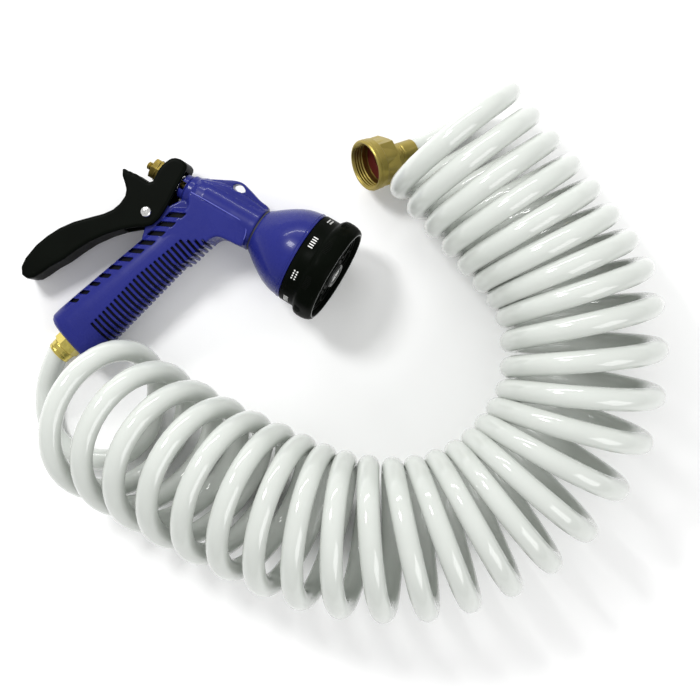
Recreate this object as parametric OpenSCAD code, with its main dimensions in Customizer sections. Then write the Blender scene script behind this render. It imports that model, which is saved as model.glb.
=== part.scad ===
// Hose-end watering gun with a rear lever, a turning spray dial and a coiled hose,
// lying on its side on a flat surface. Millimetres, +Z up, origin under the gun's middle.

/* [Gun body] */
// Outer radius of the barrel
barrel_r = 12.5; // [12:0.5:13]
// Width of the grip across the hand
grip_w = 28; // [27:1:29]
// Depth of the grip at its butt
butt_depth = 37; // [35:1:38]
// Depth of the grip where it meets the barrel
neck_depth = 30; // [29:1:31]
// Lean of the grip from square to the barrel, in degrees
grip_lean = 16.8; // [16:0.2:17.6]

/* [Dial] */
// Radius of the dial's banded ring
band_r = 28.3; // [27.5:0.1:29]
// Radius of the dial's lobed front rim
rim_r = 31.5; // [31:0.1:32]
// Number of spray patterns round the dial
patterns = 8; // [6:1:8]

/* [Lever] */
// Width of the lever across its cheeks
lever_w = 20; // [19:0.5:21]
// Distance of the lever's pivot below the valve stem
pivot_drop = 24.8; // [24.5:0.1:25.1]

/* [Hose] */
// Outer diameter of the hose
hose_d = 13; // [12.5:0.1:13.2]
// Radius of a turn of the coil, to the middle of the hose
turn_r = 42; // [40:0.5:43]

/* [Hidden] */

$fn = 48;
eps = 0.05;             // running clearance on a radius

// Where the gun lies: its valve axis points along the spray, nose up and to the right
gun_at = [-12.4, 49.9, 20.15];
gun_turn = [2.6, -6, -31];

// Along the valve axis
nut_back = -12.6;
nut_front = -5.6;
stem_back = -16.5;
gland_back = 8.5;
body_back = 13;
gland_front = 20;
packing_front = 22;
plunger_back = 43;
plunger_front = 49;
washer_front = 53;
seat_back = 53.4;
seat_front = 57;
joint_x = 62.6;
spigot_front = 72;
disc_back = 86;
disc_front = 92;
bell_front = 94;
dial_back = 94.4;
band_front = 104;
dial_front = 117;
plate_front = 115;

stem_r = 2.5;
thread_r = 6;
chamber_r = 8;
plunger_r = 6;
spigot_r = 10;
spigot_bore = 5;
port_offset = 17;
disc_r = 24.5;
screw_r = 2.5;
plate_r = 28;

// Grip, along its own axis from the middle of the butt
butt_at = [-1.7, -113.2, 0];
grip_len = 96;
grip_top = 107;
way_r = 4.5;
inlet_r = 6.6;
inlet_depth = 12;
hex_len = 8;
ferrule_len = 14;

// Lever and its pivot
pivot_r = 2.5;
boss_r = 6.5;
ear_half = 6.7;
gap_half = 7;
cheek_clear_r = 8.9;
screw_head = 2.2;

// Far end of the hose, where its ferrule begins, and the way its mouth faces
tail_at = [133.5, 68, 11];
tail_turn = [0, -27, 202];
tail_ferrule_len = 12;
swivel_back = 18;
swivel_front = 35;
swivel_r = 15.5;
swivel_flat = 28;
swivel_thread_r = 13.2;
swivel_floor = 22;
washer_r = 12.6;
thread_back = 25;
collar_r = 9.5;
bore_r = 4;

// Coil: the middle of every third turn on the ground, the way the turn faces outwards,
// and how far it leans over, for turns -1, 2, 5 and so on
spine = [[-68, -81, -116, 44], [-15.5, -114, -124, 34], [35.5, -140, -117, 20],
    [86, -160, -99, 8], [143.5, -162, -76, 0], [195, -136.5, -48, 0], [228, -85, -11, 0],
    [227.5, -25, 13, 0], [202, 14.5, 26, 0], [170, 52.5, 33, 0], [138.5, 90.5, 38, 0]];
spine_first = -1;
spine_step = 3;

// Free hose: points between the gun's ferrule and the turn that it runs into, and how hard
// the curve pulls straight on where it leaves the last turn and where it enters the far ferrule
lead_route = [[-87, -67, 11.3], [-90, -78, 8.6], [-90, -93.5, 6.8], [-83.5, -108.5, 6.7],
    [-71, -118, 6.7], [-55, -121, 6.7], [-40, -116, 6.7], [-29, -104.5, 6.9]];
lead_joins = -0.2;
tail_pull = [100, 90];
lead_meets = 1.1;
coil_first = 1;
coil_last = 26.2;
tail_leaves = 27.5;

/* Placing */
module in_gun() { translate(gun_at) rotate(gun_turn) children(); }
module in_grip() { in_gun() translate(butt_at) rotate([0, 0, -grip_lean]) rotate([-90, 0, 0]) children(); }
module in_tail() { translate(tail_at) rotate(tail_turn) children(); }
// A round bar or hole along the valve axis, from x = a to x = b
module along(a, b, r, sides = $fn) {
    translate([a, 0, 0]) rotate([0, 90, 0]) cylinder(r = r, h = b - a, $fn = sides);
}
module ring_along(a, b, outer, inner) {
    difference() {
        along(a, b, outer);
        along(a - 1, b + 1, inner);
    }
}
// A bar across the gun, as long on one side as on the other
module across(r, half) { cylinder(r = r, h = 2 * half, center = true); }

/* Sweeping */
function unit(v) = v / norm(v);
function mix4(a, b, c, d, f) = 0.5 * (2 * b + (c - a) * f + (2 * a - 5 * b + 4 * c - d) * f * f
    + (3 * b - a - 3 * c + d) * f * f * f);
function smooth(p, per) = [for (i = [0:len(p) - 2]) for (k = [0:per - 1])
    mix4(i == 0 ? 2 * p[0] - p[1] : p[i - 1], p[i], p[i + 1],
        i + 2 < len(p) ? p[i + 2] : 2 * p[i + 1] - p[i], k / per)];
function bridge(a, way_a, b, way_b, f) =
    (2 * f * f * f - 3 * f * f + 1) * a + (f * f * f - 2 * f * f + f) * way_a
    + (3 * f * f - 2 * f * f * f) * b + (f * f * f - f * f) * way_b;
function spine_knot(i) = i < 0 ? 2 * spine[0] - spine[1]
    : i >= len(spine) ? 2 * spine[len(spine) - 1] - spine[len(spine) - 2] : spine[i];
function spine_at(turn) = let (t = (turn - spine_first) / spine_step, i = floor(t))
    mix4(spine_knot(i - 1), spine_knot(i), spine_knot(i + 1), spine_knot(i + 2), t - i);
function outward(s) = [cos(s[2]), sin(s[2]), 0];
function upward(s) = cos(s[3]) * [0, 0, 1] - sin(s[3]) * [-sin(s[2]), cos(s[2]), 0];
function middle(s) = [s[0], s[1], turn_r * cos(s[3]) + hose_d / 2];
function on_turn(turn) = let (s = spine_at(turn), a = 360 * turn)
    middle(s) + turn_r * (-cos(a) * outward(s) + sin(a) * upward(s));
function ways(p) = [for (i = [0:len(p) - 1]) unit(p[min(i + 1, len(p) - 1)] - p[max(i - 1, 0)])];
function carried(t, i, done) = i == len(t) ? done
    : let (n = done[i - 1] - (done[i - 1] * t[i]) * t[i]) carried(t, i + 1, concat(done, [unit(n)]));
function sides_of(t) = carried(t, 1, [unit(cross(t[0], [0.3, 0.2, 1]))]);

// Skins a closed body over rings of the same number of points
module skin(rings) {
    m = len(rings[0]);
    last = len(rings) - 1;
    polyhedron(points = [for (ring = rings) for (p = ring) p],
        faces = concat([[for (k = [m - 1:-1:0]) k]], [[for (k = [0:m - 1]) last * m + k]],
            [for (i = [0:last - 1]) for (k = [0:m - 1]) let (q = (k + 1) % m)
                [i * m + k, i * m + q, (i + 1) * m + q, (i + 1) * m + k]]));
}
module tube(path, r, sides) {
    t = ways(path);
    n = sides_of(t);
    skin([for (i = [0:len(path) - 1]) let (b = cross(t[i], n[i]))
        [for (k = [0:sides - 1]) path[i] + r * (cos(360 * k / sides) * n[i] + sin(360 * k / sides) * b)]]);
}
module coil_span(a, b, rings) {
    color("gainsboro") skin([for (i = [0:rings]) let (s = spine_at(a + (b - a) * i / rings))
        [for (k = [0:11])
            middle(s) + (turn_r + hose_d / 2) * (cos(30 * k) * outward(s) + sin(30 * k) * upward(s))]]);
}
// A helical spring along the valve axis
module spring(a, b, r, wire, turns) {
    steps = turns * 10;
    tube([for (i = [0:steps])
        [a + wire + (b - a - 2 * wire) * i / steps, r * cos(36 * i), r * sin(36 * i)]], wire, 6);
}

/* Gun */
module grip_solid() {
    in_grip() hull() {
        for (side = [-1, 1]) {
            translate([side * (butt_depth - grip_w) / 2, 0, 0]) cylinder(d = grip_w, h = 1, $fn = 32);
            translate([side * (neck_depth - grip_w) / 2, 0, grip_len])
                cylinder(d = grip_w - 1, h = 1, $fn = 32);
            translate([side * (neck_depth - 20) / 2, 0, grip_top]) cylinder(d = 19, h = 1, $fn = 32);
        }
    }
}
module ear() {
    in_gun() {
        translate([0, -pivot_drop, 0]) across(boss_r, ear_half);
        translate([0, 0, -ear_half]) linear_extrude(2 * ear_half)
            polygon([[-4, -19.7], [9.5, -14.6], [14, -8], [24, -12], [16, -46], [8, -44],
                [4.5, -38], [2.5, -30.8]]);
    }
}
module fin() {
    in_gun() translate([0, 0, -3.5]) linear_extrude(7)
        polygon([[16, 6], [20.6, 10.7], [29.7, 15.5], [36, 18.6], [40, 19.3], [45.6, 18], [53.9, 15.6],
            [61, 12], [50, 6]]);
}
module hang_slot() {
    in_gun() {
        for (x = [38.2, 42.2]) translate([x, 15.8, 0]) across(2.1, 8);
        translate([38.2, 13.7, -8]) cube([4, 4.2, 16]);
    }
}
module body() {
    color("mediumblue") difference() {
        union() {
            in_gun() along(body_back, joint_x, barrel_r);
            in_gun() along(joint_x, spigot_front, spigot_r - 0.02);
            fin();
            grip_solid();
            ear();
        }
        for (side = [-1, 1]) in_gun() translate([0, -pivot_drop, side * (gap_half + 10) - side * 0.15])
            across(cheek_clear_r, 10);
        in_gun() translate([0, -pivot_drop, 0]) across(pivot_r, 30);
        in_gun() along(body_back - 5, packing_front, thread_r);
        in_gun() along(packing_front - 0.5, seat_front, chamber_r);
        in_gun() along(seat_front - 1, spigot_front + 5, spigot_bore);
        in_grip() translate([0, 0, -1]) cylinder(r = way_r, h = 112);
        in_grip() translate([0, 0, -5]) cylinder(r = inlet_r, h = inlet_depth + 5);
        hang_slot();
    }
}
module bell() {
    color("mediumblue") in_gun() rotate([0, 90, 0]) rotate_extrude()
        polygon([[spigot_r, joint_x + 0.8], [13.8, joint_x + 0.8], [19.2, 71], [24.8, 80], [27, 87],
            [28, bell_front], [disc_r, bell_front], [disc_r, disc_back], [22.6, disc_back],
            [21.6, 80.5], [16.4, 71.5],
            [spigot_r, spigot_front]]);
}
module barrel_seal() { color("black") in_gun() ring_along(joint_x, joint_x + 0.8, 13.2, spigot_r); }
module gland_nut() {
    color("mediumblue") in_gun() difference() {
        union() {
            along(gland_back, body_back, 7, 6);
            along(body_back, gland_front, thread_r - 0.01);
        }
        along(gland_back - 1, gland_front + 1, stem_r + eps);
    }
}
module stem_packing() {
    color("black") in_gun() ring_along(gland_front, packing_front, thread_r - 0.01, stem_r + 0.35);
}
module valve_stem() {
    color("goldenrod") in_gun() {
        along(stem_back, plunger_back + 1, stem_r);
        along(plunger_back, plunger_front, plunger_r);
        along(plunger_front, washer_front, stem_r);
    }
}
module valve_washer() {
    color("black") in_gun() ring_along(plunger_front, washer_front, plunger_r + 0.6, stem_r);
}
module valve_seat() { color("goldenrod") in_gun() ring_along(seat_back, seat_front, chamber_r, 4); }
module valve_spring() {
    color("silver") in_gun() spring(packing_front + 0.2, plunger_back - 0.2, 4.6, 0.6, 6);
}
module flow_nut() {
    color("goldenrod") in_gun() difference() {
        along(nut_back, nut_front, 6.9, 6);
        along(nut_back - 1, nut_front + 1, stem_r + eps);
    }
}
module lever() {
    half = lever_w / 2;
    color("black") in_gun() difference() {
        union() {
            // cheeks, horn and hood
            translate([0, 0, -half]) linear_extrude(lever_w)
                polygon([[-26.5, -9.9], [-18.4, -9.3], [-7.9, -9.3], [-6, -6.7], [-6.8, 0.5], [-5.2, 7.1],
                    [-1.8, 11.9], [4.9, 12.5], [7.5, 10.5], [8, 4.4], [8.3, -4.2], [9.2, -13.5],
                    [8, -24.8], [5.7, -30.5], [0, -32.8], [-8.9, -42], [-14, -47.5], [-24, -40.5],
                    [-16.8, -30], [-16.6, -22.9], [-19.7, -17.7], [-24.8, -13.8]]);
            // curved handle
            translate([0, 0, -half + 1.5]) linear_extrude(lever_w - 3)
                polygon([[-16.6, -29.8], [-19.9, -36], [-28.6, -44.8], [-41, -59.2], [-48.5, -75.7],
                    [-50.6, -87.4], [-49.6, -93.7], [-46, -96.8],
                    [-41, -96.4], [-36.1, -90.5], [-30.4, -76.7],
                    [-21.2, -57.1], [-8.9, -42.7], [-4, -36]]);
        }
        // channel that straddles the ear, the gland and the nut
        translate([-10, -41, -gap_half]) cube([30, 31, 2 * gap_half]);
        translate([-10, -10.5, -gap_half]) cube([7.4, 40, 2 * gap_half]);
        translate([0.4, -10.5, -gap_half]) cube([20, 18, 2 * gap_half]);
        // slot for the stem
        translate([-20, -10.5, -stem_r - 0.3]) cube([40, 16, 2 * stem_r + 0.6]);
        translate([0, -pivot_drop, 0]) across(pivot_r + eps, 30);
    }
    // rounded pads that pull the nut
    color("black") in_gun() for (side = [-1, 1]) translate([-2.5, 0, side * (gap_half + stem_r + 0.3) / 2])
        cylinder(r = 3, h = gap_half - stem_r - 0.3, center = true);
}
module lever_spring() { color("silver") in_gun() spring(0.7, gland_back - 0.1, 4.9, 0.6, 2.5); }
module pivot_screw() {
    color("silver") in_gun() translate([0, -pivot_drop, 0]) {
        translate([0, 0, -lever_w / 2 - 2]) cylinder(r = pivot_r, h = lever_w + 2.1);
        translate([0, 0, lever_w / 2 + 0.1]) difference() {
            cylinder(r1 = 3.4, r2 = 2.6, h = screw_head);
            for (turn = [0, 90]) rotate([0, 0, turn + 20]) translate([-1.7, -0.4, 1.2]) cube([3.4, 0.8, 2]);
        }
    }
}
module pivot_nut() {
    color("silver") in_gun() translate([0, -pivot_drop, -lever_w / 2 - 2.1]) difference() {
        cylinder(r = 4.2, h = 2, $fn = 6);
        translate([0, 0, -1]) cylinder(r = pivot_r, h = 4);
    }
}
module inlet_fitting() {
    color("gold") in_grip() difference() {
        union() {
            translate([0, 0, -hex_len]) cylinder(r = 8.7, h = hex_len - 0.8, $fn = 6);
            translate([0, 0, -1]) cylinder(r = inlet_r, h = inlet_depth + 1);
        }
        translate([0, 0, -hex_len - 1]) cylinder(r = bore_r, h = hex_len + inlet_depth + 2);
    }
}
module inlet_seal() {
    color("black") in_grip() translate([0, 0, -0.8]) difference() {
        cylinder(r = 7.6, h = 0.8);
        translate([0, 0, -1]) cylinder(r = inlet_r, h = 3);
    }
}

/* Dial */
module port_disc() {
    color("dimgray") in_gun() difference() {
        along(disc_back, disc_front, disc_r);
        translate([0, port_offset, 0]) along(disc_back - 1, disc_front + 1, 3.4);
        translate([0, -port_offset, 0]) along(disc_front - 4, disc_front + 1, 2.05);
        along(disc_back - 1, disc_front + 1, screw_r);
    }
}
module port_seal() {
    color("black") in_gun() translate([0, port_offset, 0]) ring_along(disc_back, disc_front + 2, 3.4, 2.2);
}
module detent_ball() {
    color("silver") in_gun() translate([disc_front + 0.05, -port_offset, 0]) sphere(r = 2);
}
module detent_spring() {
    color("silver") in_gun() translate([0, -port_offset, 0])
        spring(disc_front - 4, disc_front - 1.9, 1.3, 0.25, 2);
}
module dial_ring() {
    color("black") in_gun() difference() {
        rotate([0, 90, 0]) rotate_extrude()
            polygon([[screw_r + eps, dial_back], [band_r, dial_back], [band_r, band_front],
                [29.4, band_front + 0.6], [rim_r, 107], [rim_r, 113], [rim_r - 0.8, dial_front],
                [plate_r, dial_front], [plate_r, plate_front - 3], [screw_r + eps, plate_front - 3]]);
        for (i = [0:patterns - 1]) rotate([360 * i / patterns, 0, 0]) {
            translate([0, port_offset, 0]) along(dial_back + 2.5, dial_front, 6.2);
            translate([0, port_offset, 0]) along(dial_back - 1, dial_front, 2.2);
        }
    }
}
module spray_plate() {
    color("black") in_gun() difference() {
        along(plate_front - 3, plate_front, plate_r);
        along(plate_front - 4, plate_front + 1, screw_r + eps);
        for (i = [0:patterns - 1]) rotate([360 * i / patterns, 0, 0])
            for (k = [0:i % 4]) translate([0, port_offset + 2.6 * (k - (i % 4) / 2), 0])
                along(plate_front - 4, plate_front + 1, 0.9);
    }
}
module dial_screw() {
    color("silver") in_gun() {
        along(disc_back, plate_front, screw_r);
        along(plate_front - 0.1, plate_front + 0.2, screw_r);
        along(plate_front + 0.1, plate_front + 1.6, 5);
    }
}
module centre_cap() { color("dimgray") in_gun() ring_along(plate_front, dial_front, 7.5, 5.1); }

/* Hose */
module hose_ferrule() {
    color("gold") in_grip() translate([0, 0, -ferrule_len]) difference() {
        cylinder(r = 7.6, h = ferrule_len - hex_len);
        translate([0, 0, -1]) cylinder(r = bore_r, h = ferrule_len);
    }
}
grip_way = [sin(grip_lean), cos(grip_lean), 0];
function turned(v, a) =
    let (x = [v[0], v[1] * cos(a[0]) - v[2] * sin(a[0]), v[1] * sin(a[0]) + v[2] * cos(a[0])],
    y = [x[0] * cos(a[1]) + x[2] * sin(a[1]), x[1], x[2] * cos(a[1]) - x[0] * sin(a[1])])
    [y[0] * cos(a[2]) - y[1] * sin(a[2]), y[0] * sin(a[2]) + y[1] * cos(a[2]), y[2]];
ferrule_mouth = gun_at + turned(butt_at - ferrule_len * grip_way, gun_turn);
module hose_lead() {
    color("gainsboro") tube(concat(smooth(concat([ferrule_mouth], lead_route, [on_turn(lead_joins)]), 2),
        [for (turn = [lead_joins:0.1:lead_meets]) on_turn(turn)]), hose_d / 2, 8);
}
module coil_open() { coil_span(coil_first, 7, 6); }
module coil_lower() { coil_span(7, 13, 5); }
module coil_side() { coil_span(13, 20, 6); }
module coil_upper() { coil_span(20, coil_last, 6); }
leaving = unit(on_turn(tail_leaves + 0.01) - on_turn(tail_leaves - 0.01));
module hose_tail() {
    color("gainsboro") tube(concat([for (turn = [coil_last:0.1:tail_leaves]) on_turn(turn)],
        [for (f = [0.125:0.125:1]) bridge(on_turn(tail_leaves), tail_pull[0] * leaving,
            tail_at, tail_pull[1] * turned([1, 0, 0], tail_turn), f)]), hose_d / 2, 8);
}
module tail_ferrule() {
    color("darkgoldenrod") in_tail() ring_along(0, tail_ferrule_len, 7.2, bore_r);
}
module tail_stem() {
    color("darkgoldenrod") in_tail() difference() {
        union() {
            along(tail_ferrule_len, swivel_floor - 0.1, 7.5);
            along(swivel_back + 2.1, swivel_floor, collar_r);
        }
        along(0, 40, bore_r);
    }
}
module tail_washer() {
    color("firebrick") in_tail() ring_along(swivel_floor + 0.4, thread_back, washer_r, 5);
}
module swivel_nut() {
    color("darkgoldenrod") in_tail() difference() {
        union() {
            along(swivel_front - 4, swivel_front, swivel_r);
            intersection() {
                along(swivel_back, swivel_front, swivel_r);
                along(swivel_back, swivel_front, swivel_flat / 2 / cos(30), 6);
            }
        }
        along(swivel_back - 1, swivel_front, 7.5 + eps);
        along(swivel_back + 2, swivel_front, collar_r + eps);
        along(swivel_floor, swivel_front, washer_r);
        along(thread_back, swivel_front + 1, swivel_thread_r);
    }
}

body();
bell();
barrel_seal();
gland_nut();
stem_packing();
valve_stem();
valve_washer();
valve_seat();
valve_spring();
flow_nut();
lever();
lever_spring();
pivot_screw();
pivot_nut();
inlet_fitting();
inlet_seal();
port_disc();
port_seal();
detent_ball();
detent_spring();
dial_ring();
spray_plate();
dial_screw();
centre_cap();
hose_ferrule();
hose_lead();
coil_open();
coil_lower();
coil_side();
coil_upper();
hose_tail();
tail_ferrule();
tail_stem();
tail_washer();
swivel_nut();
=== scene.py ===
import bpy
import bmesh
from math import cos, sin, pi, radians, floor
from mathutils import Matrix, Vector


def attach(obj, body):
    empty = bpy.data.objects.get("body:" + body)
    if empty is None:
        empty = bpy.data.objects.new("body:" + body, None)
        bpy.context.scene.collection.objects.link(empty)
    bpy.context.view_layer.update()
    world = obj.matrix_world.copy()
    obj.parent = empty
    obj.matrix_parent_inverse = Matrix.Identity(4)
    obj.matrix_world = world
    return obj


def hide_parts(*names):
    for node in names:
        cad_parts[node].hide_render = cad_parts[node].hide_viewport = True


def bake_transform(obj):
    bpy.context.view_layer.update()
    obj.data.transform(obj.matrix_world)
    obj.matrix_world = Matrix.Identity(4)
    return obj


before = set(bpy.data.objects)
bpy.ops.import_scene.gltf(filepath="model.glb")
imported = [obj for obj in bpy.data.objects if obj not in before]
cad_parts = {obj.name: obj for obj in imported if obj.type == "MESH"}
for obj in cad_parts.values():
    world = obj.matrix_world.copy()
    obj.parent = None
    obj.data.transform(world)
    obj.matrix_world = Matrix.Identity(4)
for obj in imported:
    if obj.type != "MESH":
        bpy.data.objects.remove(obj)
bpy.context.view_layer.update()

MM = 0.001

# ---------------------------------------------------------------- placing


def turn(ax, ay, az):
    return (Matrix.Rotation(radians(az), 4, "Z") @ Matrix.Rotation(radians(ay), 4, "Y")
            @ Matrix.Rotation(radians(ax), 4, "X"))


SCALE = Matrix.Scale(MM, 4)
GUN = SCALE @ Matrix.Translation((-12.4, 49.9, 20.15)) @ turn(2.6, -6, -31)
BUTT = Vector((-1.7, -113.2, 0))
LEAN = 16.8
GRIP = GUN @ Matrix.Translation(BUTT) @ turn(0, 0, -LEAN) @ turn(-90, 0, 0)
GRIP_IN_GUN = Matrix.Translation(BUTT) @ turn(0, 0, -LEAN) @ turn(-90, 0, 0)
TAIL = SCALE @ Matrix.Translation((133.5, 68, 11)) @ turn(0, -27, 202)

# ---------------------------------------------------------------- camera and light

CAMERA_AT = (0.0955, -0.0537, 0.825)
LENS_MM = 68.6
WORLD_STRENGTH = 0.68

cam_data = bpy.data.cameras.new("camera")
cam_data.lens = LENS_MM
cam_data.sensor_width = 36
cam_data.clip_end = 20
cam = bpy.data.objects.new("camera", cam_data)
cam.location = CAMERA_AT
bpy.context.scene.collection.objects.link(cam)
bpy.context.scene.camera = cam


def area_light(name, at, towards, size, power, colour=(1, 1, 1), height=None):
    data = bpy.data.lights.new(name, "AREA")
    data.energy = power
    data.color = colour
    data.shape = "RECTANGLE"
    data.size = size
    data.size_y = height or size
    obj = bpy.data.objects.new(name, data)
    obj.location = at
    obj.rotation_euler = (Vector(towards) - Vector(at)).to_track_quat("-Z", "Y").to_euler()
    bpy.context.scene.collection.objects.link(obj)
    return obj


bpy.context.scene.view_settings.view_transform = "Standard"
world = bpy.data.worlds.new("world")
bpy.context.scene.world = world
world.use_nodes = True
world.node_tree.nodes["Background"].inputs[0].default_value = (1, 1, 1, 1)
world.node_tree.nodes["Background"].inputs[1].default_value = WORLD_STRENGTH
area_light("key", (-0.5, 0.55, 1.0), (0.05, -0.05, 0.0), 0.24, 8)
area_light("strip", (-0.15, 0.9, 0.55), (0.1, -0.05, 0.0), 0.9, 4.5, height=0.05)
area_light("fill", (0.9, -0.7, 0.8), (0.1, -0.05, 0.0), 0.8, 6)

# ---------------------------------------------------------------- materials

# Pointiness at which an edge begins to show wear, and at which it shows it fully
WEAR_FROM, WEAR_TO = 0.53, 0.62
BUMP_DEPTH = 0.0004
COAT_ROUGHNESS = 0.06


def material(name, base, rough, metal=0.0, coat=0.0, vary=0.12, grain=420.0, bump=0.06, wear=0.25,
             sub=0.0, wear_colour=None, coarse=45.0, spec=0.5):
    mat = bpy.data.materials.new(name)
    mat.use_nodes = True
    nodes = mat.node_tree.nodes
    link = mat.node_tree.links.new
    shader = nodes["Principled BSDF"]
    coords = nodes.new("ShaderNodeTexCoord")
    broad = nodes.new("ShaderNodeTexNoise")
    broad.inputs["Scale"].default_value = coarse
    broad.inputs["Detail"].default_value = 4
    fine = nodes.new("ShaderNodeTexNoise")
    fine.inputs["Scale"].default_value = grain
    fine.inputs["Detail"].default_value = 3
    link(coords.outputs["Object"], broad.inputs["Vector"])
    link(coords.outputs["Object"], fine.inputs["Vector"])
    ramp = nodes.new("ShaderNodeValToRGB")
    ramp.color_ramp.elements[0].position = 0.3
    ramp.color_ramp.elements[1].position = 0.7
    ramp.color_ramp.elements[0].color = [c * (1 - vary) for c in base] + [1]
    ramp.color_ramp.elements[1].color = [min(1.0, c * (1 + vary)) for c in base] + [1]
    link(broad.outputs["Fac"], ramp.inputs["Fac"])
    geometry = nodes.new("ShaderNodeNewGeometry")
    edge = nodes.new("ShaderNodeMapRange")
    edge.inputs["From Min"].default_value = WEAR_FROM
    edge.inputs["From Max"].default_value = WEAR_TO
    edge.inputs["To Max"].default_value = wear
    link(geometry.outputs["Pointiness"], edge.inputs["Value"])
    mix = nodes.new("ShaderNodeMix")
    mix.data_type = "RGBA"
    worn = wear_colour or [min(1.0, c * 1.6 + 0.04) for c in base]
    mix.inputs["B"].default_value = list(worn) + [1]
    link(edge.outputs["Result"], mix.inputs["Factor"])
    link(ramp.outputs["Color"], mix.inputs["A"])
    link(mix.outputs["Result"], shader.inputs["Base Color"])
    gloss = nodes.new("ShaderNodeMapRange")
    gloss.inputs["To Min"].default_value = max(0.02, rough * 0.8)
    gloss.inputs["To Max"].default_value = min(1.0, rough * 1.25)
    link(fine.outputs["Fac"], gloss.inputs["Value"])
    link(gloss.outputs["Result"], shader.inputs["Roughness"])
    bumps = nodes.new("ShaderNodeBump")
    bumps.inputs["Strength"].default_value = bump
    bumps.inputs["Distance"].default_value = BUMP_DEPTH
    link(fine.outputs["Fac"], bumps.inputs["Height"])
    link(bumps.outputs["Normal"], shader.inputs["Normal"])
    shader.inputs["Metallic"].default_value = metal
    shader.inputs["Coat Weight"].default_value = coat
    shader.inputs["Coat Roughness"].default_value = COAT_ROUGHNESS
    shader.inputs["Specular IOR Level"].default_value = spec
    shader.inputs["Subsurface Weight"].default_value = sub
    if sub:
        shader.inputs["Subsurface Radius"].default_value = (0.9, 1.0, 0.95)
        shader.inputs["Subsurface Scale"].default_value = 0.006
    return mat


BLUE = material("blue_shell", (0.014, 0.018, 0.155), 0.27, coat=0.12, vary=0.05, grain=260, bump=0.01,
                wear=0.06, wear_colour=(0.035, 0.045, 0.28), spec=0.12)
# A lighter blue than the shell for the crease ridge: a painted highlight, not the plastic's own colour
CREASE_HIGHLIGHT = material("blue_crease_painted_highlight", (0.085, 0.095, 0.40), 0.3, vary=0.05, grain=400, bump=0.01, wear=0.0)
CORE = material("grip_core", (0.003, 0.003, 0.006), 0.7, vary=0.2, grain=900, bump=0.2, wear=0.1, spec=0.1)
BLACK = material("black_moulding", (0.0022, 0.003, 0.002), 0.4, vary=0.2, grain=1200, bump=0.04, wear=0.06,
                 spec=0.025)
DIAL = material("black_dial", (0.0022, 0.003, 0.002), 0.34, vary=0.2, grain=1200, bump=0.04, wear=0.1,
                spec=0.012)
GREY = material("grey_trim", (0.16, 0.17, 0.165), 0.3, vary=0.15, grain=800, bump=0.05)
CAP = material("dark_cap", (0.022, 0.024, 0.023), 0.25, vary=0.15, grain=800, bump=0.04, wear=0.5)
PRINT = material("white_print", (0.8, 0.8, 0.78), 0.5, vary=0.06, grain=1500, bump=0.03, wear=0.0)
SEAL = material("black_rubber", (0.008, 0.008, 0.01), 0.6, vary=0.2, grain=900, bump=0.25)
STEEL = material("plated_steel", (0.74, 0.74, 0.73), 0.18, metal=1.0, vary=0.08, grain=700, bump=0.05)
BRASS = material("bright_brass", (0.66, 0.54, 0.14), 0.2, metal=1.0, vary=0.25, grain=700, bump=0.04,
                 wear_colour=(0.97, 0.86, 0.42))
OLIVE = material("turned_brass", (0.36, 0.285, 0.075), 0.36, metal=1.0, vary=0.12, grain=1400, bump=0.08,
                 wear_colour=(0.66, 0.56, 0.22))
AGED = material("aged_brass", (0.2, 0.15, 0.036), 0.42, metal=1.0, vary=0.35, grain=1400, bump=0.1,
                coarse=160)
RED = material("red_washer", (0.09, 0.009, 0.006), 0.6, vary=0.15, grain=700, bump=0.15, spec=0.1)
HOSE = material("hose_white", (0.585, 0.61, 0.575), 0.1, coat=0.45, vary=0.03, grain=200, bump=0.006,
                wear=0.0, sub=0.08, coarse=30.0)
FLOOR = material("floor_white", (0.97, 0.97, 0.97), 0.9, vary=0.004, grain=200, bump=0.0, wear=0.0,
                 coarse=3.0, spec=0.0)

# ---------------------------------------------------------------- mesh making

X_TO_Z = Matrix(((0, 1, 0, 0), (0, 0, 1, 0), (1, 0, 0, 0), (0, 0, 0, 1)))


def closed_mesh(bm):
    bmesh.ops.recalc_face_normals(bm, faces=bm.faces)
    return bm


def joined(parts):
    """One mesh out of several, each still closed in itself."""
    out = bmesh.new()
    for part in parts:
        mesh = bpy.data.meshes.new("part")
        part.to_mesh(mesh)
        part.free()
        out.from_mesh(mesh)
        bpy.data.meshes.remove(mesh)
    return out


def moved(bm, matrix):
    bmesh.ops.transform(bm, matrix=matrix, verts=bm.verts)
    return bm


def skin(rings, cap=True, closed=False):
    """Skins rings of equally many points, with a cap at each end."""
    bm = bmesh.new()
    rows = [[bm.verts.new(p) for p in ring] for ring in rings]
    count = len(rows[0])
    last = len(rows) if closed else len(rows) - 1
    for i in range(last):
        a, b = rows[i], rows[(i + 1) % len(rows)]
        for k in range(count):
            q = (k + 1) % count
            bm.faces.new((a[k], a[q], b[q], b[k]))
    if cap and not closed:
        bm.faces.new(rows[0][::-1])
        bm.faces.new(rows[-1])
    return closed_mesh(bm)


def lathe(profile, steps=96, axis="X"):
    """Turns a closed outline of (along, radius) points into a ring or, where the radius is 0, a solid."""
    bm = bmesh.new()
    rows = []
    for along, radius in profile:
        if radius < 1e-6:
            rows.append([bm.verts.new((along, 0, 0))])
        else:
            rows.append([bm.verts.new((along, radius * cos(a), radius * sin(a)))
                         for a in (2 * pi * k / steps for k in range(steps))])
    for i in range(len(rows)):
        a, b = rows[i], rows[(i + 1) % len(rows)]
        if len(a) == 1 and len(b) == 1:
            continue
        for k in range(steps):
            q = (k + 1) % steps
            if len(a) == 1:
                bm.faces.new((a[0], b[q], b[k]))
            elif len(b) == 1:
                bm.faces.new((a[k], a[q], b[0]))
            else:
                bm.faces.new((a[k], a[q], b[q], b[k]))
    if axis == "Z":
        moved(bm, X_TO_Z)
    return closed_mesh(bm)


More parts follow.
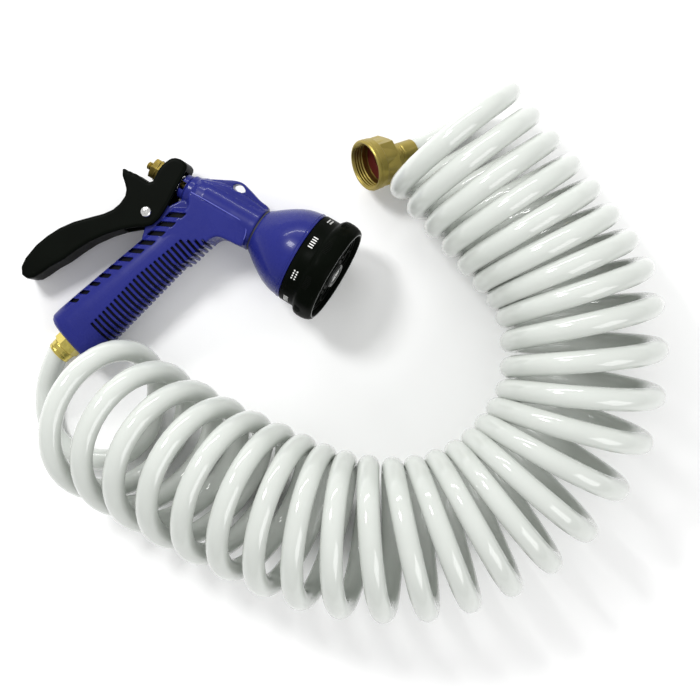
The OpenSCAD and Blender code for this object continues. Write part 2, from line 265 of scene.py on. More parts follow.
def rod(low, high, radius, steps=96, axis="X"):
    return lathe([(low, 0), (low, radius), (high, radius), (high, 0)], steps, axis)


def sleeve(low, high, inner, outer, steps=96, axis="X"):
    return lathe([(low, inner), (low, outer), (high, outer), (high, inner)], steps, axis)


def slab(outline, low, high, rounding=0.0, segments=3):
    """An outline in X and Y, thickened from low to high, with its two rims rounded."""
    bm = bmesh.new()
    bottom = [bm.verts.new((x, y, low)) for x, y in outline]
    top = [bm.verts.new((x, y, high)) for x, y in outline]
    bm.faces.new(bottom[::-1])
    bm.faces.new(top)
    for k in range(len(outline)):
        q = (k + 1) % len(outline)
        bm.faces.new((bottom[k], bottom[q], top[q], top[k]))
    closed_mesh(bm)
    if rounding:
        rims = [e for e in bm.edges if abs(e.verts[0].co.z - e.verts[1].co.z) < 1e-6]
        bmesh.ops.bevel(bm, geom=rims, offset=rounding, segments=segments, affect="EDGES", profile=0.5)
    return closed_mesh(bm)


def block(low, high):
    x0, y0, z0 = low
    x1, y1, z1 = high
    return slab([(x0, y0), (x1, y0), (x1, y1), (x0, y1)], z0, z1)


def prism(sides, flat, low, high, chamfer=0.0, axis="X", start=0.0):
    """A prism with a chamfer that rounds its corners, as a nut has."""
    reach = flat / 2 / cos(pi / sides)
    rings = []
    steps = sides * 4
    for at, cut in ((low, chamfer), (low + chamfer * 0.6, 0), (high - chamfer * 0.6, 0), (high, chamfer)):
        ring = []
        for k in range(steps):
            a = 2 * pi * k / steps
            radius = flat / 2 / cos(a % (2 * pi / sides) - pi / sides)
            if cut:
                radius = min(radius, reach - cut)
            ring.append((at, radius * cos(a + start), radius * sin(a + start)))
        rings.append(ring)
    bm = skin(rings)
    if axis == "Z":
        moved(bm, X_TO_Z)
    return bm


def between(p0, p1, p2, p3, f):
    """A point at f between p1 and p2 on a Catmull-Rom line."""
    return 0.5 * (2 * p1 + (p2 - p0) * f + (2 * p0 - 5 * p1 + 4 * p2 - p3) * f * f
                  + (3 * p1 - p0 - 3 * p2 + p3) * f ** 3)


def smooth_line(points, per=8, closed=False):
    """A Catmull-Rom line through the points."""
    out = []
    n = len(points)
    vec = [Vector(p) for p in points]
    spans = n if closed else n - 1
    for i in range(spans):
        p1, p2 = vec[i], vec[(i + 1) % n]
        p0 = vec[i - 1] if closed or i else 2 * p1 - p2
        p3 = vec[(i + 2) % n] if closed or i + 2 < n else 2 * p2 - p1
        for s in range(per):
            out.append(between(p0, p1, p2, p3, s / per))
    if not closed:
        out.append(vec[-1])
    return out


def wire(path, radius, sides=10):
    """A bar of round section along a line, with its ring carried along so that it does not twist."""
    path = [Vector(p) for p in path]
    rings = []
    normal = None
    for i, p in enumerate(path):
        way = (path[min(i + 1, len(path) - 1)] - path[max(i - 1, 0)]).normalized()
        if normal is None:
            normal = way.cross(Vector((0.31, 0.22, 0.93))).normalized()
        normal = (normal - way * normal.dot(way)).normalized()
        side = way.cross(normal)
        rings.append([p + radius * (cos(2 * pi * k / sides) * normal + sin(2 * pi * k / sides) * side)
                      for k in range(sides)])
    return skin(rings)


def coil(low, high, radius, thickness, turns):
    steps = int(turns * 24)
    path = [(low + thickness + (high - low - 2 * thickness) * i / steps,
             radius * cos(2 * pi * turns * i / steps), radius * sin(2 * pi * turns * i / steps))
            for i in range(steps + 1)]
    return wire(path, thickness)


def as_object(bm, name):
    mesh = bpy.data.meshes.new(name)
    bm.to_mesh(mesh)
    bm.free()
    obj = bpy.data.objects.new(name, mesh)
    bpy.context.scene.collection.objects.link(obj)
    return obj


def settled(obj):
    """The mesh of an object with its modifiers applied; the object itself goes."""
    deps = bpy.context.evaluated_depsgraph_get()
    mesh = bpy.data.meshes.new_from_object(obj.evaluated_get(deps))
    old = obj.data
    bpy.data.objects.remove(obj)
    bpy.data.meshes.remove(old)
    bm = bmesh.new()
    bm.from_mesh(mesh)
    bpy.data.meshes.remove(mesh)
    return bm


def carve(base, steps):
    """Adds and takes away closed meshes, in turn."""
    obj = as_object(base, "carved")
    tools = []
    for way, bm in steps:
        tool = as_object(bm, "tool")
        tools.append(tool)
        mod = obj.modifiers.new("cut", "BOOLEAN")
        mod.operation = way
        mod.solver = "MANIFOLD"
        mod.object = tool
    bm = settled(obj)
    for tool in tools:
        mesh = tool.data
        bpy.data.objects.remove(tool)
        bpy.data.meshes.remove(mesh)
    return bm


def without(base, tools):
    return carve(base, [("DIFFERENCE", bm) for bm in tools])


def moulded(bm, voxel, passes=3, factor=0.5):
    """Rounds every edge a little, as a mould does."""
    obj = as_object(bm, "moulded")
    mod = obj.modifiers.new("remesh", "REMESH")
    mod.mode = "VOXEL"
    mod.voxel_size = voxel
    mod = obj.modifiers.new("smooth", "SMOOTH")
    mod.factor = factor
    mod.iterations = passes
    return settled(obj)


def piece(name, bm, place, mat, body, nodes=(), crease=35.0, bevel=0.0, squeezed=None):
    """A finished piece: placed, shaded smooth between its sharp edges, and declared to the frame.
    squeezed is (other body, start, end); when given, the piece is only fixed in place in the world and
    joins no body, and these values are not read."""
    moved(bm, place)
    limit = radians(crease)
    for face in bm.faces:
        face.smooth = True
    for edge in bm.edges:
        edge.smooth = not (edge.is_manifold and edge.calc_face_angle(0) > limit)
    obj = as_object(bm, name)
    obj.data.materials.append(mat)
    if bevel:
        mod = obj.modifiers.new("edges", "BEVEL")
        mod.width = bevel * MM
        mod.segments = 2
        mod.limit_method = "ANGLE"
        mod.angle_limit = limit
        mod.harden_normals = True
    if squeezed:
        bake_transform(obj)
    else:
        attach(obj, body)
    if nodes:
        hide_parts(*nodes)
    return obj


# ---------------------------------------------------------------- hose

HOSE_D = 13.0
TURN_R = 42.0
SPINE = [(-68, -81, -116, 44), (-15.5, -114, -124, 34), (35.5, -140, -117, 20),
         (86, -160, -99, 8), (143.5, -162, -76, 0), (195, -136.5, -48, 0), (228, -85, -11, 0),
         (227.5, -25, 13, 0), (202, 14.5, 26, 0), (170, 52.5, 33, 0), (138.5, 90.5, 38, 0)]
LEAD = [(-87, -67, 11.3), (-90, -78, 8.6), (-90, -93.5, 6.8), (-83.5, -108.5, 6.7),
        (-71, -118, 6.7), (-55, -121, 6.7), (-40, -116, 6.7), (-29, -104.5, 6.9)]
TAIL_PULL = (100, 90)
FIRST_TURN, LAST_TURN = -0.2, 27.5
PER_TURN = 40
LEAD_STEPS = 8
TAIL_STEPS = 24


def spine_knot(i):
    knots = [Vector(s) for s in SPINE]
    if i < 0:
        return 2 * knots[0] - knots[1]
    if i >= len(knots):
        return 2 * knots[-1] - knots[-2]
    return knots[i]


def on_turn(n):
    t = (n + 1) / 3
    i = floor(t)
    s = between(*(spine_knot(i + k) for k in (-1, 0, 1, 2)), t - i)
    psi, tilt = radians(s[2]), radians(s[3])
    out = Vector((cos(psi), sin(psi), 0))
    along = Vector((-sin(psi), cos(psi), 0))
    up = cos(tilt) * Vector((0, 0, 1)) - sin(tilt) * along
    middle = Vector((s[0], s[1], TURN_R * cos(tilt) + HOSE_D / 2))
    a = 2 * pi * n
    return middle + TURN_R * (-cos(a) * out + sin(a) * up)


ferrule_mouth = (GRIP @ Vector((0, 0, -14))) / MM
hose_start = (GRIP @ Vector((0, 0, -11))) / MM
tail_end = (TAIL @ Vector((0, 0, 0))) / MM
tail_inside = (TAIL @ Vector((3, 0, 0))) / MM
tail_way = (tail_inside - tail_end).normalized() * TAIL_PULL[1]
leaving = (on_turn(LAST_TURN + 0.01) - on_turn(LAST_TURN - 0.01)).normalized() * TAIL_PULL[0]


def bridge(a, way_a, b, way_b, f):
    return ((2 * f ** 3 - 3 * f * f + 1) * a + (f ** 3 - 2 * f * f + f) * way_a
            + (3 * f * f - 2 * f ** 3) * b + (f ** 3 - f * f) * way_b)


lead_line = smooth_line([hose_start, ferrule_mouth] + LEAD + [on_turn(FIRST_TURN)], LEAD_STEPS)[:-1]
turns = round((LAST_TURN - FIRST_TURN) * PER_TURN)
helix = [on_turn(FIRST_TURN + (LAST_TURN - FIRST_TURN) * i / turns) for i in range(turns + 1)]
tail_line = [bridge(on_turn(LAST_TURN), leaving, tail_end, tail_way, i / TAIL_STEPS)
             for i in range(1, TAIL_STEPS + 1)] + [tail_inside]
centre_line = [Vector(p) * MM for p in lead_line + helix + tail_line]

curve = bpy.data.curves.new("hose", "CURVE")
curve.dimensions = "3D"
curve.bevel_depth = HOSE_D / 2 * MM
curve.bevel_resolution = 8
curve.use_fill_caps = True
spline = curve.splines.new("POLY")
spline.points.add(len(centre_line) - 1)
for point, place in zip(spline.points, centre_line):
    point.co = (*place, 1)
spline.use_smooth = True
hose = bpy.data.objects.new("hose", curve)
bpy.context.scene.collection.objects.link(hose)
curve.materials.append(HOSE)
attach(hose, "gun")
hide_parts("hose_lead", "coil_open", "coil_lower", "coil_side", "coil_upper", "hose_tail")

# ---------------------------------------------------------------- far fitting

swivel = lathe([(18, 8.0), (19, 7.7), (20.1, 7.7), (20.1, 9.7), (22.2, 9.7), (22.2, 12.7), (25, 12.7),
                (25, 13.6), (34.4, 13.6), (35, 14.2), (35, 15.0), (34.4, 15.5), (28.6, 15.5),
                (28, 15.0), (28, 14.2), (18.8, 13.2), (18, 12.6)], 96)
hexagon = without(prism(6, 26.4, 18.2, 28.4, 0.9), [rod(10, 40, 12.9)])
threads = joined([lathe([(x, 13.7), (x + 0.55, 13.05), (x + 1.1, 13.7)], 72)
                  for x in (26, 27.8, 29.6, 31.4, 33.1)])
grooves = joined([lathe([(x, 15.35), (x + 0.25, 15.75), (x + 0.5, 15.35)], 96) for x in (31.9, 33.6)])
swivel_nut = piece("swivel_nut_piece", joined([swivel, hexagon, threads, grooves]), TAIL, OLIVE, "swivel",
                   ["swivel_nut"], 30, 0.25)
washer_bm = lathe([(22.4, 5), (22.4, 12.5), (24.6, 12.5), (24.9, 12.2), (24.9, 5.4), (24.6, 5)])
washer = piece("washer_piece", washer_bm, TAIL, RED, "swivel", ["tail_washer"], 40)
stem_bm = joined([lathe([(12, 4), (12, 7.3), (12.6, 7.5), (20.6, 7.5), (20.6, 9.3), (21.9, 9.3),
                         (21.9, 5), (24, 5), (24, 4)])])
stem_end = piece("tail_stem_piece", stem_bm, TAIL, OLIVE, "gun", ["tail_stem"], 30, 0.2)
ferrule_bm = lathe([(0, 6.55), (0, 6.9), (0.5, 7.25), (9.6, 7.25), (10, 7.0), (10.6, 7.0), (11, 7.25),
                    (11.7, 7.25), (12, 6.9), (12, 4), (3, 4), (3, 6.55)])
ferrule_end = piece("tail_ferrule_piece", ferrule_bm, TAIL, OLIVE, "gun", ["tail_ferrule"],
                    30, 0.15)

# ---------------------------------------------------------------- gun body

PIVOT_DROP = 24.8
AT_PIVOT = Matrix.Translation((0, -PIVOT_DROP, 0))
GRIP_STEPS, GRIP_STATIONS = 64, 40
# Depth of the grip forwards and backwards, and half its width, by height
FRONT = [(-2.2, 15.4), (-1, 17.4), (1, 18.6), (6, 18.9), (20, 17.9), (50, 16.6), (73, 15.5), (90, 14.9),
         (99, 14.6), (104, 12.4), (108, 8)]
BACK = [(-2.2, 15.4), (-1, 17.4), (1, 18.6), (6, 18.7), (20, 18.1), (50, 16.5), (73, 15.1), (90, 15.8),
        (99, 16), (104, 11), (108, 7)]
HALF = [(-2.2, 10.4), (-1, 12.2), (1, 13.3), (6, 13.9), (20, 14), (50, 13.9), (73, 13.6), (90, 13.1),
        (99, 12.8), (104, 11), (108, 8)]


def reading(table, t):
    """The depth that a table of (station, depth) gives at t."""
    for (a, u), (b, v) in zip(table, table[1:]):
        if t <= b:
            return u + (v - u) * (t - a) / (b - a)
    return table[-1][1]


def grip_loft(shrink, low=-2.2, high=108.0, power=2.6):
    """The grip's oval form, shrunk all round, between two stations along it."""
    rings = []
    stations = sorted({low, high} | {t for t, _ in FRONT if low < t < high}
                      | {low + (high - low) * i / GRIP_STATIONS for i in range(GRIP_STATIONS + 1)})
    for t in stations:
        ring = []
        for k in range(GRIP_STEPS):
            a = 2 * pi * k / GRIP_STEPS
            ca, sa = cos(a), sin(a)
            depth = (reading(FRONT, t) if ca > 0 else reading(BACK, t)) - shrink
            wide = reading(HALF, t) - shrink
            ring.append((depth * (1 if ca > 0 else -1) * abs(ca) ** (2 / power),
                         -wide * (1 if sa > 0 else -1) * abs(sa) ** (2 / power), t))
        rings.append(ring)
    return moved(skin(rings), GRIP_IN_GUN)


def in_grip(bm):
    return moved(bm, GRIP_IN_GUN)


# Grooves round the front of the grip, and slanted slots round its back
RIBS = 27
FIRST_RIB, RIB_PITCH, HALF_RIB = 16.5, 3.3, 0.8
rib_cuts = []
for i in range(RIBS):
    t = FIRST_RIB + RIB_PITCH * i
    start = 1.2 + 2.2 * abs(i - 12) / 12 if i < 23 else 3.4 + 2.9 * (i - 22)
    rib_cuts.append(in_grip(block((start, -20, t - HALF_RIB), (30, 20, t + HALF_RIB))))
SLOTS = 11
SLOT_SLOPE = 0.85
FIRST_SLOT, SLOT_PITCH = 97, 8.0
slot_cuts = []
for i in range(SLOTS):
    t = FIRST_SLOT - SLOT_PITCH * i
    back = 1.1 - reading(BACK, t)
    front = back + 9.2 - 0.45 * i
    half = 2.15 - 0.06 * i
    lean = (front - back) * SLOT_SLOPE
    outline_xt = [(back, t - lean / 2 - half), (front, t + lean / 2 - half),
                  (front, t + lean / 2 + half), (back, t - lean / 2 + half)]
    slot_cuts.append(in_grip(moved(slab(outline_xt, -20, 20), Matrix.Rotation(radians(90), 4, "X"))))
rib_tool = without(joined(rib_cuts), [grip_loft(2.2, -2.2, 107)])
slot_tool = without(joined(slot_cuts), [grip_loft(1.7, -2.2, 107)])

barrel = lathe([(13, 0), (13, 8.6), (13.8, 9.3), (17, 9.6), (20, 11.4), (25, 12.4), (45, 12.9), (58, 13.6),
                (61.6, 13.9), (62.3, 13.3), (62.3, 0)], 96)
fin = slab([tuple(p.xy) for p in smooth_line([
    (13.5, 6, 0), (20.6, 10.9, 0), (29.7, 15.6, 0), (35, 18.2, 0), (40, 19.4, 0), (45.6, 18.2, 0),
    (53.9, 15.8, 0), (61.8, 13.9, 0), (60, 6, 0), (38, 2, 0), (18, 2, 0)], 5, True)], -3.6, 3.6, 1.2)
roof = slab([(18, 9), (30, 13.4), (36, 14.2), (52, 13.6), (61.5, 12.4), (60, 2), (20, 2)], -8.5, 8.5, 2.6)
panel = slab([tuple(p.xy) for p in smooth_line([
    (17.5, -1.4, 0), (30, -1.1, 0), (44, -0.9, 0), (53, -0.8, 0), (58, -2.8, 0), (60.2, -7, 0),
    (60.8, -13.2, 0), (53, -14.4, 0), (46.5, -15.4, 0), (43, -18.4, 0), (40, -27, 0), (34, -42, 0),
    (18, -42, 0), (16.5, -26, 0), (20, -14, 0), (20.5, -8, 0)], 4, True)], -13.1, 13.1, 1.3)
ear = slab([(-4, -19.7), (9.5, -14.6), (14, -8), (24, -6), (30, -46), (8, -46), (4.5, -39), (2.5, -30.8)],
           -6.7, 6.7, 0.8)
boss = moved(lathe([(-6.7, 0), (-6.7, 5.9), (-6.1, 6.5), (6.1, 6.5), (6.7, 5.9), (6.7, 0)], 64, "Z"),
             AT_PIVOT)
cheek_room = [moved(rod(a, b, 8.9, 64, "Z"), AT_PIVOT) for a, b in ((6.9, 25), (-25, -6.9))]
slot_hole = slab([tuple(p.xy) for p in smooth_line([
    (36.1, 15.4, 0), (38.4, 17.6, 0), (41.6, 17.7, 0), (44.3, 15.9, 0), (42, 13.7, 0), (38.2, 13.5, 0)], 6,
    True)], -9, 9)
chamber = lathe([(5, 0), (5, 5.95), (22, 5.95), (22, 7.9), (57, 7.9), (57, 4.9), (80, 4.9), (80, 0)], 48)
steps = [("UNION", bm) for bm in (fin, roof, panel, ear, boss, grip_loft(0))]
pivot_bore = moved(rod(-30, 30, 2.5, 32, "Z"), AT_PIVOT)
water_way = in_grip(lathe([(-10, 0), (-10, 6.6), (12, 6.6), (12, 4.5), (104, 4.5), (104, 0)], 48, "Z"))
steps += [("DIFFERENCE", bm)
          for bm in cheek_room + [rib_tool, slot_tool, slot_hole, chamber, pivot_bore, water_way]]
shell = moulded(carve(barrel, steps), 0.32, 5, 0.5)
piece("body_shell", shell, GUN, BLUE, "gun", ["body"], 60)
piece("body_core", grip_loft(1.5, 12, 103), GUN, CORE, "gun", (), 60)

# Raised crease beside the panel's upper edge, coloured a lighter blue as a painted highlight along it
ridge = wire(smooth_line([(18.2, -1.0, 12.5), (30, -0.6, 12.9), (44, -0.4, 13.0), (53, -0.5, 13.0),
                          (58.0, -2.8, 13.0), (59.8, -7, 12.8), (60.2, -11, 12.4)], 8), 0.32, 8)
piece("crease", ridge, GUN, CREASE_HIGHLIGHT, "gun", (), 60)

# ---------------------------------------------------------------- bell and dial

bell = lathe([(63.2, 10.2), (63.2, 13.2), (63.7, 13.9), (66, 15.5), (69, 17.8), (72, 19.9), (76, 22.5),
              (80, 24.7), (84, 26.3), (87, 27.1), (91, 27.75), (93.4, 28), (94, 27.7), (94, 24.5),
              (86, 24.5), (86, 22.6), (80.5, 21.6), (71.5, 16.4), (70, 10.2)], 128)
piece("bell_piece", bell, GUN, BLUE, "gun", ["bell"], 32, 0.3)
piece("seam_ring", sleeve(62.2, 63.4, 10.4, 13.0), GUN, SEAL, "gun", ["barrel_seal"])
lip = lathe([(91.6, 27.6), (91.9, 28.15), (92.5, 28.15), (92.8, 27.6)], 128)
piece("bell_lip", lip, GUN, BLUE, "gun", ())

LOBES = 8
RIM_STEPS = 192
rim_rings = []
for x, r, swell in ((94.4, 27.6, 0), (94.7, 28.2, 0), (103.2, 28.3, 0), (104, 28.7, 0.1),
                    (104.8, 29.8, 0.3), (106, 30.8, 0.45), (108, 31.2, 0.5), (111, 31.2, 0.5),
                    (113.5, 30.9, 0.4), (115.6, 30.2, 0.3), (116.7, 29.4, 0.2), (117, 28.7, 0.1),
                    (117, 27.6, 0), (116.4, 27.2, 0), (113, 27, 0)):
    rim_rings.append([(x, (r + swell * cos(LOBES * a)) * cos(a), (r + swell * cos(LOBES * a)) * sin(a))
                      for a in (2 * pi * k / RIM_STEPS for k in range(RIM_STEPS))])
rim_rings += [[(x, r * cos(a), r * sin(a)) for a in (2 * pi * k / RIM_STEPS for k in range(RIM_STEPS))]
              for x, r in ((112.6, 2.6), (94.4, 2.6))]
dial_body = skin(rim_rings, closed=True)
piece("dial_body", dial_body, GUN, DIAL, "dial", ["dial_ring"], 38)
KNURL_R, KNURL_PITCH = 30.75, 0.032
knurl = []
for lobe in range(LOBES):
    for i in range(-4, 5):
        a = 2 * pi * (lobe + 0.5) / LOBES + i * KNURL_PITCH
        bar = block((106.4, -0.16, -0.3), (110.5 - 0.25 * abs(i), 0.16, 0.3))
        knurl.append(moved(bar, Matrix.Rotation(a, 4, "X") @ Matrix.Translation((0, 0, KNURL_R))))
piece("dial_knurl", joined(knurl), GUN, DIAL, "dial", (), 30)

# Marks for the spray patterns: bars and double rows of dots by turns
PATTERNS = 8
FIRST_MARK, MARK_PITCH, MARK_R = 0.42, 0.058, 28.27
marks = []
for i in range(PATTERNS):
    base = Matrix.Rotation(2 * pi * i / PATTERNS + FIRST_MARK, 4, "X")
    count = 4 + i % 3
    for k in range(count):
        spread = base @ Matrix.Rotation((k - (count - 1) / 2) * MARK_PITCH, 4, "X")
        if i % 2:
            mark = block((97.6, -0.32, -0.02), (100.6, 0.32, 0.06))
            marks.append(moved(mark, spread @ Matrix.Translation((0, 0, MARK_R))))
        else:
            for at in (98.3, 100.2):
                mark = rod(-0.02, 0.06, 0.5, 16, "Z")
                marks.append(moved(mark, spread @ Matrix.Translation((at, 0, MARK_R))))
piece("dial_marks", joined(marks), GUN, PRINT, "dial", (), 30)

# The face: a recessed plate with a ring, eight nozzles and a centre cap
PORT_OFFSET = 17
HOLE_PITCH = 2.4
AT_PORT = Matrix.Translation((0, PORT_OFFSET, 0))
AT_DETENT = Matrix.Translation((0, -PORT_OFFSET, 0))
face = lathe([(112.2, 2.6), (112.2, 27.2), (113.4, 27.2), (113.4, 25.6), (114.6, 25.2), (114.6, 24.2),
              (113.6, 23.8), (113.6, 10.4), (114.6, 10), (114.6, 8.2), (115, 8), (115, 2.6)], 96)
holes = []
for i in range(PATTERNS):
    spin = Matrix.Rotation(2 * pi * i / PATTERNS, 4, "X")
    for k in range(1 + i % 4):
        out_by = PORT_OFFSET + HOLE_PITCH * (k - (i % 4) / 2)
        holes.append(moved(rod(112.6, 118, 0.8, 20), spin @ Matrix.Translation((0, out_by, 0))))
face = without(face, holes)
piece("dial_face", face, GUN, DIAL, "dial", ["spray_plate"], 32, 0.15)
cups = []
for i in range(PATTERNS):
    spin = Matrix.Rotation(2 * pi * i / PATTERNS, 4, "X")
    ring = lathe([(113.2, 4.9), (114.5, 4.9), (114.7, 5.2), (114.7, 5.7), (114.4, 5.95), (113.2, 5.95)], 40)
    cups.append(moved(ring, spin @ AT_PORT))
piece("nozzle_rims", joined(cups), GUN, DIAL, "dial", (), 32)
face_ring = lathe([(116.8, 27.8), (117.05, 27.95), (117.1, 28.25), (117.05, 28.5), (116.8, 28.6)], 160)
piece("face_ring", face_ring, GUN, GREY, "dial", (), 40)
centre_ring = lathe([(115, 5.2), (115, 7.6), (116.2, 7.6), (116.9, 7.1), (116.9, 5.9), (116.4, 5.2)], 64)
piece("centre_ring", centre_ring, GUN, CAP, "dial", ["centre_cap"], 32)
head = lathe([(86, 0), (86, 2.5), (115.1, 2.5), (115.1, 5), (115.9, 5), (116.4, 4.4), (116.6, 3.4),
              (116.6, 0)], 48)
head = without(head, [block((115.7, -2.6, -0.45), (118, 2.6, 0.45)),
                      block((115.7, -0.45, -2.6), (118, 0.45, 2.6))])
piece("dial_screw_piece", head, GUN, STEEL, "gun", ["dial_screw"], 32, 0.1)
disc = without(lathe([(86.1, 2.5), (86.1, 24.4), (91.7, 24.4), (92, 24), (92, 2.5)], 96),
               [moved(rod(80, 99, 3.4, 32), AT_PORT), moved(rod(88, 99, 2.05, 32), AT_DETENT)])
piece("port_disc_piece", disc, GUN, GREY, "gun", ["port_disc"], 32, 0.1)
port_seal = lathe([(86.1, 2.3), (86.1, 3.35), (93.7, 3.35), (94, 3.0), (94, 2.6), (93.7, 2.3)], 32)
piece("port_seal_piece", moved(port_seal, AT_PORT), GUN, SEAL, "gun", ["port_seal"], 32)
BALL_STEPS = 16
ball_outline = [(92.05 - 2 * cos(a), 2 * sin(a))
                for a in (pi * k / BALL_STEPS for k in range(BALL_STEPS + 1))]
ball = moved(lathe(ball_outline, 32), AT_DETENT)
piece("detent_ball_piece", ball, GUN, STEEL, "gun", ["detent_ball"], 60)
detent_spring = moved(coil(88, 90.1, 1.3, 0.25, 2), AT_DETENT)
piece("detent_spring_piece", detent_spring, GUN, STEEL, "gun", ["detent_spring"], 60)

# ---------------------------------------------------------------- valve

gland = lathe([(8.5, 2.6), (8.5, 7.0), (9.2, 7.7), (12.2, 7.9), (13, 7.4), (13, 5.9), (20, 5.9),
               (20, 2.6)], 72)
gland = without(gland, [block((7, -12, -1.2), (10.6, 12, 1.2)), block((7, -2.4, -12), (12, 2.4, 12))])
piece("gland_piece", gland, GUN, BLUE, "gun", ["gland_nut"], 32, 0.35)
piece("packing_piece", sleeve(20, 22, 2.9, 5.9, 48), GUN, SEAL, "gun", ["stem_packing"])
THREADS, THREAD_PITCH = 9, 1.1
stem_outline = [(-16.5, 0), (-16.5, 1.7), (-16.1, 2.05)]
for i in range(THREADS):
    stem_outline += [(-15.9 + THREAD_PITCH * i, 2.5), (-15.35 + THREAD_PITCH * i, 2.1)]
stem_outline += [(-5.6, 2.45), (43, 2.45), (43, 5.6), (43.4, 6), (48.6, 6), (49, 5.6), (49, 2.4),
                 (53, 2.4), (53, 0)]
piece("stem_piece", lathe(stem_outline, 40), GUN, OLIVE, "stem", ["valve_stem"], 40)
stem_washer = lathe([(49, 2.5), (49, 6.5), (52.7, 6.5), (53, 6.2), (53, 2.5)], 48)
piece("stem_washer", stem_washer, GUN, SEAL, "stem", ["valve_washer"])
seat = lathe([(53.4, 4.2), (53.4, 4.6), (53.9, 5.2), (53.9, 7.8), (56.9, 7.8), (56.9, 4.2)], 48)
piece("seat_piece", seat, GUN, OLIVE, "gun", ["valve_seat"])

# The two springs are fixed in place in the world and join no body
VALVE_SPRING = (22.2, 42.8)
LEVER_SPRING = (0.7, 8.4)
piece("valve_spring_piece", coil(*VALVE_SPRING, 4.6, 0.6, 6), GUN, STEEL, "gun", ["valve_spring"],
      60, squeezed=("stem", *VALVE_SPRING))
piece("lever_spring_piece", coil(*LEVER_SPRING, 5.0, 0.62, 2.5), GUN, STEEL, "gun", ["lever_spring"],
      60, squeezed=("stem", *LEVER_SPRING[::-1]))
nut = without(prism(6, 12, -12.6, -5.7, 0.7, start=0.5), [rod(-20, 0, 2.6, 32)])
collar = lathe([(-9.35, 6.3), (-9.2, 6.62), (-8.9, 6.62), (-8.75, 6.3)], 64)
piece("flow_nut_piece", joined([nut, collar]), GUN, AGED, "flow_nut", ["flow_nut"], 30, 0.2)

# ---------------------------------------------------------------- lever

HALF_LEVER = 10.0
lever_side = slab([(-26.2, -10.1), (-25.2, -9.1), (-22.2, -9.5), (-21.6, -8.7), (-18.9, -9.1),
                   (-18.3, -8.4), (-8.2, -8.9), (-6.4, -7.0), (-6.5, -3), (-6.9, 0.5), (-6.4, 4),
                   (-5.2, 7.4), (-3.8, 10.1), (-1.6, 11.9), (1.5, 12.7), (4.9, 12.5), (6.8, 11.6),
                   (7.7, 10.0), (8.0, 4.4), (8.3, -4.2), (9.0, -13.5), (8.9, -20), (8.4, -25), (6.6, -30),
                   (3.5, -33), (-1, -35.8), (-7.6, -41.2), (-14.6, -48.6), (-21.4, -58), (-26, -67),
                   (-29.8, -75.4), (-34.4, -83), (-37.4, -89.5), (-40, -94), (-43.2, -96.4), (-47.2, -96),
                   (-50, -92), (-50.5, -86), (-48.8, -76), (-45.6, -67.6), (-41.6, -60), (-36, -52.4),
                   (-28.6, -44.9), (-22.6, -39), (-18.8, -33.8), (-16.9, -28.5), (-16.5, -22.9),
                   (-17.9, -19.4), (-20.6, -16.6), (-24.2, -13.6)],
                  -HALF_LEVER, HALF_LEVER, 1.6)
channel = block((-10, -41, -7), (20, -10, 7))
behind = block((-10, -10.5, -7), (-2.6, 30, 7))
before = block((0.4, -10.5, -7), (20.4, 7.5, 7))
stem_slot = block((-20, -10.5, -2.8), (20, 5.5, 2.8))
pivot_hole = moved(rod(-30, 30, 2.55, 40, "Z"), AT_PIVOT)
pads = [moved(rod(a, b, 3, 40, "Z"), Matrix.Translation((-2.5, 0, 0)))
        for a, b in ((2.9, 7.3), (-7.3, -2.9))]
lever = carve(lever_side, [("DIFFERENCE", channel), ("DIFFERENCE", behind), ("DIFFERENCE", before),
                          ("DIFFERENCE", stem_slot), ("UNION", pads[0]), ("UNION", pads[1]),
                          ("DIFFERENCE", pivot_hole)])
piece("lever_piece", moulded(lever, 0.36, 8, 0.5), GUN, BLACK, "lever", ["lever"], 60)

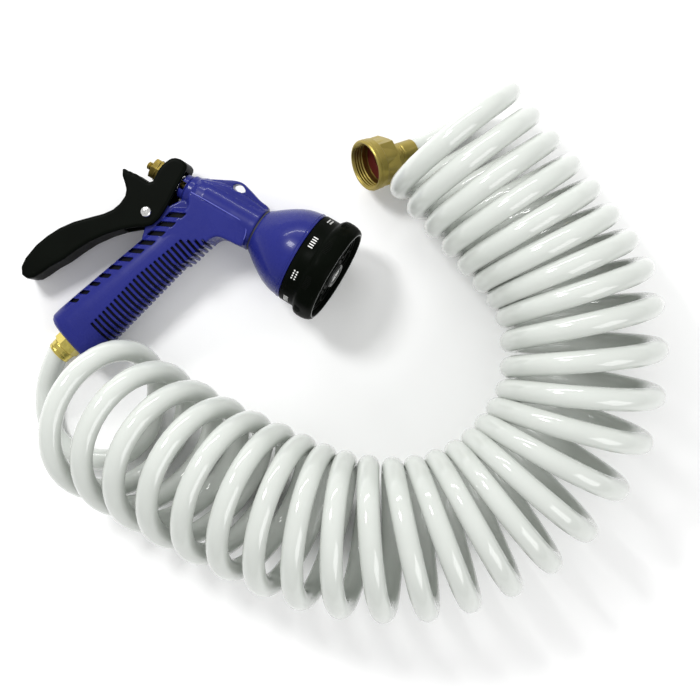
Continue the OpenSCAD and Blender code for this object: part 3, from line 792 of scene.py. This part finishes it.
dome = lathe([(10.1, 0), (10.1, 3.3), (10.7, 3.4), (11.4, 3.1), (12, 2.4), (12.3, 1.3), (12.4, 0)], 48, "Z")
shank = lathe([(-12, 0), (-12, 2.2), (-11.7, 2.48), (10.2, 2.48), (10.2, 0)], 32, "Z")
cross = [moved(slab([(-1.9, -0.4), (1.9, -0.4), (1.9, 0.4), (-1.9, 0.4)], 11, 14),
               Matrix.Rotation(a, 4, "Z"))
         for a in (0.5, 0.5 + pi / 2)]
screw = carve(dome, [("UNION", shank)] + [("DIFFERENCE", bm) for bm in cross])
piece("pivot_screw_piece", screw, GUN @ AT_PIVOT, STEEL, "gun", ["pivot_screw"], 30, 0.08)
pivot_nut = without(prism(6, 7.2, -12.1, -10.15, 0.4, "Z"), [rod(-14, -9, 2.5, 32, "Z")])
piece("pivot_nut_piece", pivot_nut, GUN @ AT_PIVOT, STEEL, "gun", ["pivot_nut"], 30, 0.1)

# ---------------------------------------------------------------- inlet

inlet = carve(prism(6, 15.2, -8, -0.7, 0.9, "Z", 0.35),
              [("UNION", lathe([(-1.2, 0), (-1.2, 6.55), (11.6, 6.55), (12, 6.2), (12, 0)], 48, "Z")),
               ("DIFFERENCE", rod(-10, 20, 4, 40, "Z")),
               ("DIFFERENCE", block((-12, 2.4, -5.2), (-6.0, 12, -4.3)))])
piece("inlet_piece", inlet, GRIP, BRASS, "gun", ["inlet_fitting"], 28, 0.2)
piece("inlet_seal_piece", sleeve(-0.75, 0.3, 6.6, 7.5, 48, "Z"), GRIP, SEAL, "gun", ["inlet_seal"])
ferrule = lathe([(-14, 6.35), (-14, 7.0), (-13.6, 7.35), (-12.2, 7.5), (-11.9, 7.25), (-11.5, 7.25),
                 (-11.2, 7.55), (-8.5, 7.6), (-8, 7.3), (-8, 4), (-10.8, 4), (-10.8, 6.35)], 64, "Z")
piece("ferrule_piece", ferrule, GRIP, BRASS, "gun", ["hose_ferrule"], 28, 0.15)

# ---------------------------------------------------------------- floor

FLOOR_REACH = 3
floor_bm = bmesh.new()
bmesh.ops.create_grid(floor_bm, x_segments=1, y_segments=1, size=FLOOR_REACH)
floor_obj = as_object(floor_bm, "floor")
floor_obj.data.materials.append(FLOOR)
